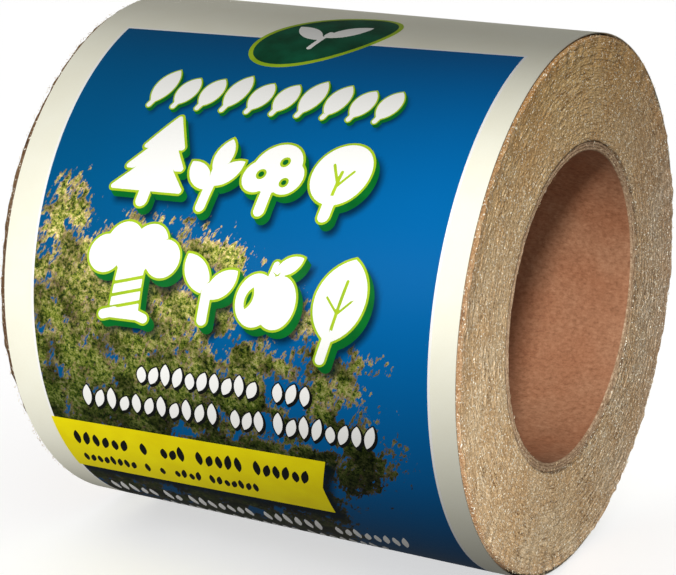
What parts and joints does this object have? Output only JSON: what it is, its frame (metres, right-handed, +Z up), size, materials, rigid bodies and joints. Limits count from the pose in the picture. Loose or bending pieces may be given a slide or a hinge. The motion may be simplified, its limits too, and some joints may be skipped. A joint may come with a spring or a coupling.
{
  "type": "tree wrap roll",
  "caption": "Roll of creped paper strip for wrapping young tree trunks, wound on a paper core and held in a printed paper band that slides off endways.",
  "frame": {"origin": "centre of the core's bore, half way along the roll", "axes": "+X along the roll's axis towards the end seen first in use, -Y towards the front of the label, +Z up as the roll lies on its side"},
  "size_m": [0.0762, 0.0826, 0.0826],
  "materials": {
    "core_board": "matt brown paperboard",
    "crepe_paper": "fibrous creped kraft",
    "label_paper": "satin coated paper, printed",
    "tape": "satin adhesive tape",
    "adhesive": "dry adhesive"
  },
  "bodies": {
    "roll": {"core_inner_ply": "core_board", "core_middle_ply": "core_board", "core_outer_ply": "core_board", "start_glue": "adhesive", "tree_wrap": "crepe_paper", "tail_tab": "tape"},
    "label_band": {"printed_label": "label_paper", "label_glue": "adhesive"}
  },
  "joints": [
    {"name": "label_slide", "type": "slide", "parent": "roll", "child": "label_band", "axis": [1, 0, 0], "range_m": [0, 0.08]}
  ]
}
